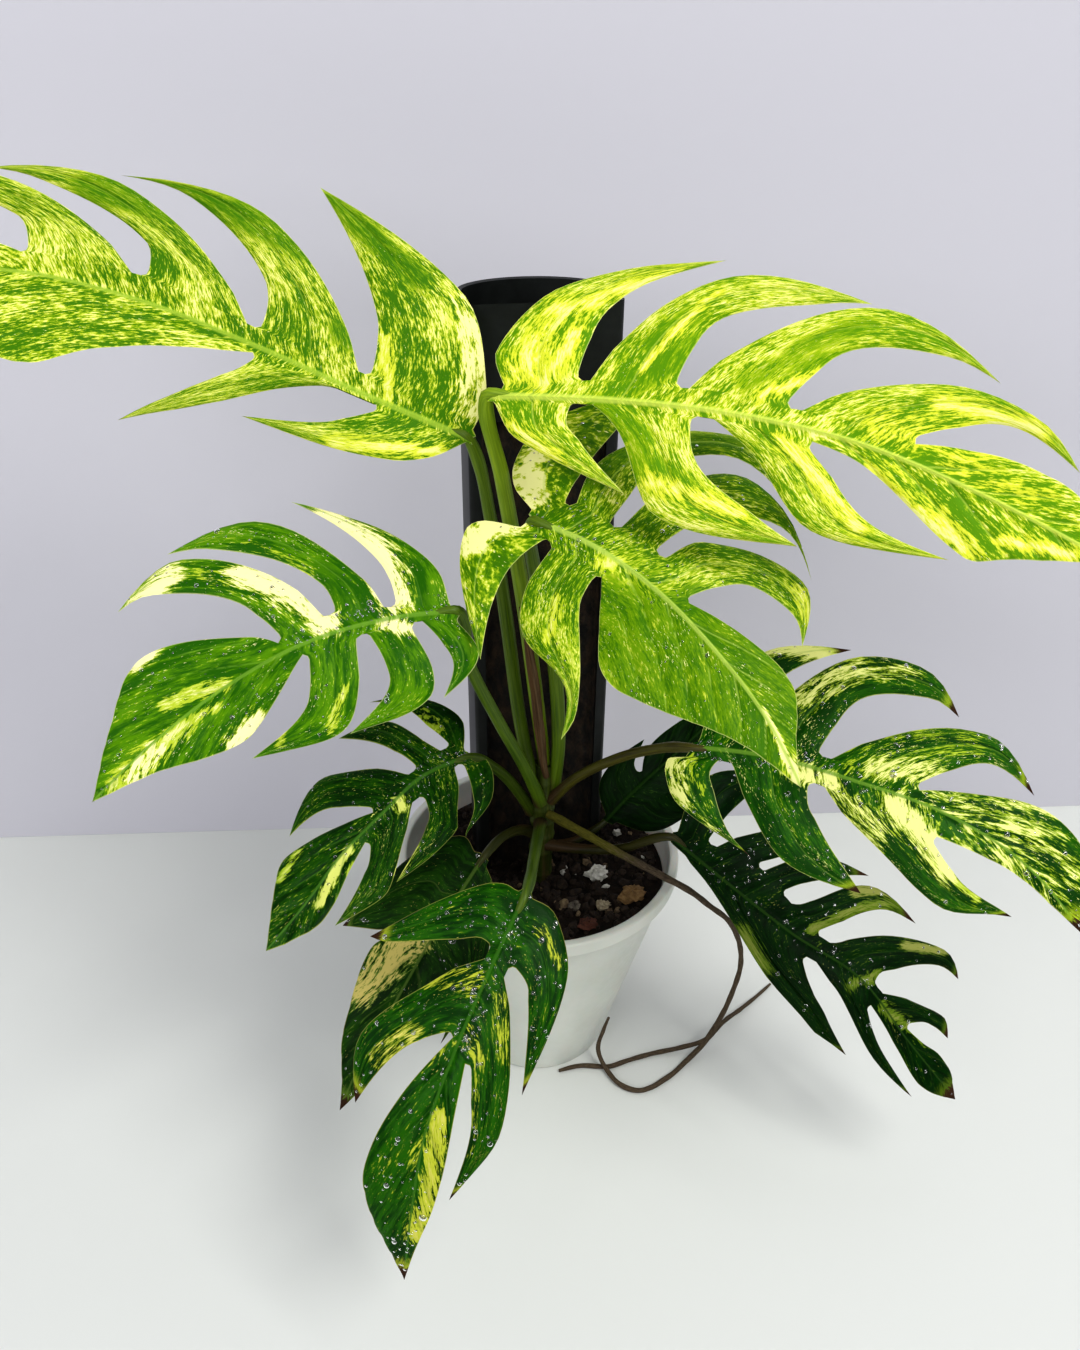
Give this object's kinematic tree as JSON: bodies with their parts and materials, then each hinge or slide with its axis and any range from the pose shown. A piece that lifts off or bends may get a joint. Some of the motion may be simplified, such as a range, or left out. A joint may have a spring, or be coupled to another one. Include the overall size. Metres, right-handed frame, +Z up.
{
  "type": "potted climbing aroid",
  "caption": "Young variegated split-leaf climbing aroid in a white nursery pot, held up by a black grow pole, with aerial roots over the rim.",
  "frame": {"origin": "middle of the pot's underside, on the surface that it stands on", "axes": "+Z up along the pot, +X to the right of the front view, +Y from the front to the grow pole behind the stem"},
  "size_m": [0.4906, 0.2955, 0.4929],
  "materials": {
    "pot": "satin white",
    "potting_mix": "damp crumbly bark and fibre",
    "grow_pole": "smooth black",
    "pole_moss": "fibrous brown",
    "stem": "smooth green",
    "leaf_lime": "glossy, lime streaked",
    "leaf_yellow": "glossy, yellow streaked",
    "leaf_mid": "glossy, finely speckled",
    "leaf_dark": "glossy dark green with cream sectors",
    "leaf_shade": "glossy very dark green",
    "dry_sheath": "dry papery",
    "aerial_root": "rough brown",
    "perlite": "chalky white",
    "bark": "rough bark"
  },
  "bodies": {
    "root": {"pot": "pot", "potting_mix": "potting_mix", "grow_pole": "grow_pole", "pole_moss": "pole_moss", "stem": "stem", "leaf_a": "leaf_lime", "leaf_b": "leaf_yellow", "leaf_c": "leaf_mid", "leaf_d": "leaf_dark", "leaf_e": "leaf_dark", "leaf_f": "leaf_dark", "leaf_g": "leaf_shade", "leaf_h": "leaf_dark", "leaf_i": "leaf_shade", "leaf_j": "leaf_shade", "dry_sheath": "dry_sheath", "aerial_root": "aerial_root", "perlite_grain": "perlite", "bark_chunk_tan": "bark", "bark_chunk_beige": "bark", "bark_chunk_red": "bark", "bark_chunk_grey": "bark"}
  },
  "joints": []
}
